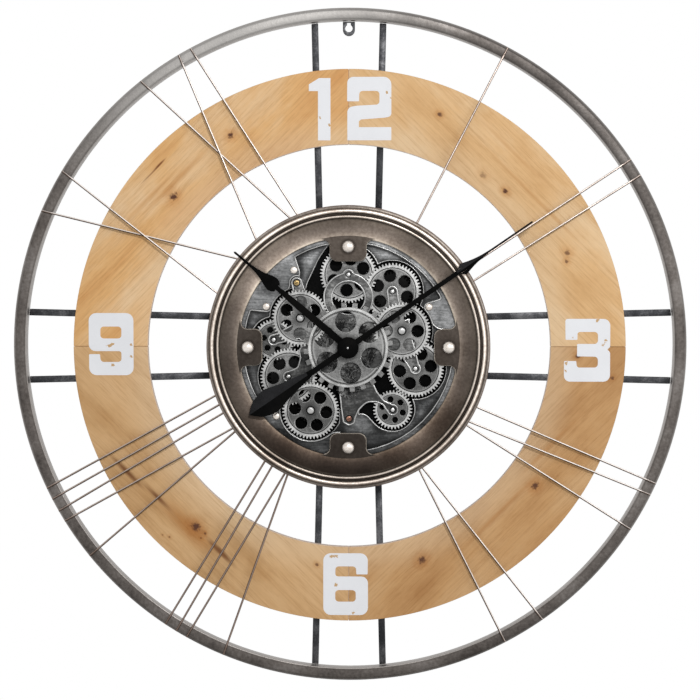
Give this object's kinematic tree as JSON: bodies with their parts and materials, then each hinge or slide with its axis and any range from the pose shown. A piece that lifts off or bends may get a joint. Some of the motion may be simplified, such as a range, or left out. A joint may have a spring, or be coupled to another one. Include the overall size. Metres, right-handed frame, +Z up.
{
  "type": "gear wall clock",
  "caption": "Round wall clock with a slim metal ring, a wooden dial ring with white numerals, rod hour marks, black spade hands and a moving gear train behind a spun bezel.",
  "frame": {"origin": "where the hands' axis meets the wall plane, on the back cover's rear face", "axes": "+Z up, +X to the viewer's right, -Y towards the viewer; the wall is the plane y = 0"},
  "size_m": [0.8, 0.0553, 0.8],
  "materials": {
    "ring_metal": "aged pewter grey, satin",
    "strap_metal": "dark gunmetal, satin",
    "dial_wood": "honey fir with painted white numerals, oiled",
    "rod_metal": "warm nickel with brown patina",
    "case_metal": "dark gunmetal, satin",
    "bezel_metal": "dark bronze pewter, semi-gloss",
    "plate_black": "matt black",
    "plate_metal": "brushed silver grey",
    "gear_metal": "brushed silver, semi-gloss",
    "hand_black": "matt black",
    "plastic_black": "moulded black",
    "cell_sleeve": "plain grey sleeve"
  },
  "bodies": {
    "frame": {"outer_ring": "ring_metal", "hanging_tab": "strap_metal", "strap_12_right": "strap_metal", "strap_12_left": "strap_metal", "strap_3_right": "strap_metal", "strap_3_left": "strap_metal", "strap_6_right": "strap_metal", "strap_6_left": "strap_metal", "strap_9_right": "strap_metal", "strap_9_left": "strap_metal", "dial_quadrant_12_to_3": "dial_wood", "dial_quadrant_3_to_6": "dial_wood", "dial_quadrant_6_to_9": "dial_wood", "dial_quadrant_9_to_12": "dial_wood", "rod_1_stroke": "rod_metal", "rod_2_left": "rod_metal", "rod_2_right": "rod_metal", "rod_4_first_stroke": "rod_metal", "rod_7_third_stroke": "rod_metal", "rod_7_fourth_stroke": "rod_metal", "rod_8_third_stroke": "rod_metal", "rod_8_fourth_stroke": "rod_metal", "rod_8_fifth_stroke": "rod_metal", "rod_11_last_stroke": "rod_metal", "rods_4_v": "rod_metal", "rods_5_v": "rod_metal", "rods_7_v": "rod_metal", "rods_8_v": "rod_metal", "rods_10_x": "rod_metal", "rods_11_x": "rod_metal", "housing_drum": "case_metal", "back_cover": "case_metal", "bezel": "bezel_metal", "base_plate": "plate_black", "surround_plate": "plate_metal", "front_plate": "plate_metal", "train_bridge": "plate_metal", "quartz_movement": "plastic_black", "gear_motor": "plastic_black", "battery_box": "plastic_black", "movement_cell": "cell_sleeve", "gear_cell": "cell_sleeve"},
    "centre_gear_body": {"centre_gear": "gear_metal"},
    "gear_at_2_body": {"gear_at_2": "gear_metal"},
    "gear_at_10_body": {"gear_at_10": "gear_metal"},
    "drive_pinion_body": {"drive_pinion": "gear_metal"},
    "gear_at_1_body": {"gear_at_1": "gear_metal"},
    "gear_at_4_body": {"gear_at_4": "gear_metal"},
    "gear_at_5_body": {"gear_at_5": "gear_metal"},
    "gear_at_12_body": {"gear_at_12": "gear_metal"},
    "gear_at_9_body": {"gear_at_9": "gear_metal"},
    "gear_at_8_body": {"gear_at_8": "gear_metal"},
    "gear_at_7_body": {"gear_at_7": "gear_metal"},
    "hour_hand_body": {"hour_hand": "hand_black"},
    "minute_hand_body": {"minute_hand": "hand_black", "hub_cap": "hand_black"},
    "time_set_knob_body": {"time_set_knob": "plastic_black"},
    "battery_lid_body": {"battery_lid": "plastic_black"},
    "power_switch_body": {"power_switch": "plastic_black"}
  },
  "joints": [
    {"name": "centre_gear_spin", "type": "hinge", "parent": "frame", "child": "centre_gear_body", "pos_m": [0, 0, 0], "axis": [0, -1, 0], "continuous": true},
    {"name": "gear_at_2_spin", "type": "hinge", "parent": "frame", "child": "gear_at_2_body", "pos_m": [0.06308, 0, 0.01942], "axis": [0, -1, 0], "continuous": true},
    {"name": "gear_at_10_spin", "type": "hinge", "parent": "frame", "child": "gear_at_10_body", "pos_m": [-0.05639, 0, 0.03429], "axis": [0, -1, 0], "continuous": true},
    {"name": "drive_pinion_spin", "type": "hinge", "parent": "frame", "child": "drive_pinion_body", "pos_m": [0, 0, -0.0462], "axis": [0, -1, 0], "continuous": true},
    {"name": "gear_at_1_spin", "type": "hinge", "parent": "frame", "child": "gear_at_1_body", "pos_m": [0.0519, 0, 0.0656], "axis": [0, -1, 0], "continuous": true},
    {"name": "gear_at_4_spin", "type": "hinge", "parent": "frame", "child": "gear_at_4_body", "pos_m": [0.07906, 0, -0.02533], "axis": [0, -1, 0], "continuous": true},
    {"name": "gear_at_5_spin", "type": "hinge", "parent": "frame", "child": "gear_at_5_body", "pos_m": [0.05239, 0, -0.07394], "axis": [0, -1, 0], "continuous": true},
    {"name": "gear_at_12_spin", "type": "hinge", "parent": "frame", "child": "gear_at_12_body", "pos_m": [0.00015, 0, 0.0855], "axis": [0, -1, 0], "continuous": true},
    {"name": "gear_at_9_spin", "type": "hinge", "parent": "frame", "child": "gear_at_9_body", "pos_m": [-0.08816, 0, 0.0085], "axis": [0, -1, 0], "continuous": true},
    {"name": "gear_at_8_spin", "type": "hinge", "parent": "frame", "child": "gear_at_8_body", "pos_m": [-0.07059, 0, -0.03494], "axis": [0, -1, 0], "continuous": true},
    {"name": "gear_at_7_spin", "type": "hinge", "parent": "frame", "child": "gear_at_7_body", "pos_m": [-0.0443, 0, -0.07453], "axis": [0, -1, 0], "continuous": true},
    {"name": "minute_hand_turn", "type": "hinge", "parent": "frame", "child": "minute_hand_body", "pos_m": [0, 0, 0], "axis": [0, 1, 0], "continuous": true},
    {"name": "hour_hand_turn", "type": "hinge", "parent": "frame", "child": "hour_hand_body", "pos_m": [0, 0, 0], "axis": [0, 1, 0], "continuous": true},
    {"name": "time_set_knob_turn", "type": "hinge", "parent": "frame", "child": "time_set_knob_body", "pos_m": [0, 0, 0.017], "axis": [0, 1, 0], "continuous": true},
    {"name": "battery_lid_slide", "type": "slide", "parent": "frame", "child": "battery_lid_body", "axis": [-1, 0, 0], "range_m": [0, 0.022]},
    {"name": "power_switch_slide", "type": "slide", "parent": "frame", "child": "power_switch_body", "axis": [1, 0, 0], "range_m": [-0.0035, 0.0035]}
  ],
  "couplings": [
    {"joint": "gear_at_2_spin", "follows": "centre_gear_spin", "ratio": -1},
    {"joint": "gear_at_10_spin", "follows": "centre_gear_spin", "ratio": -1},
    {"joint": "drive_pinion_spin", "follows": "centre_gear_spin", "ratio": -2.5},
    {"joint": "gear_at_1_spin", "follows": "centre_gear_spin", "ratio": 0.44},
    {"joint": "gear_at_4_spin", "follows": "centre_gear_spin", "ratio": 0.44},
    {"joint": "gear_at_5_spin", "follows": "centre_gear_spin", "ratio": -0.64706},
    {"joint": "gear_at_12_spin", "follows": "centre_gear_spin", "ratio": -0.2992},
    {"joint": "gear_at_9_spin", "follows": "centre_gear_spin", "ratio": 0.72222},
    {"joint": "gear_at_8_spin", "follows": "centre_gear_spin", "ratio": -0.74286},
    {"joint": "gear_at_7_spin", "follows": "centre_gear_spin", "ratio": 1.6883},
    {"joint": "hour_hand_turn", "follows": "minute_hand_turn", "ratio": 0.083333},
    {"joint": "time_set_knob_turn", "follows": "minute_hand_turn", "ratio": -1}
  ]
}
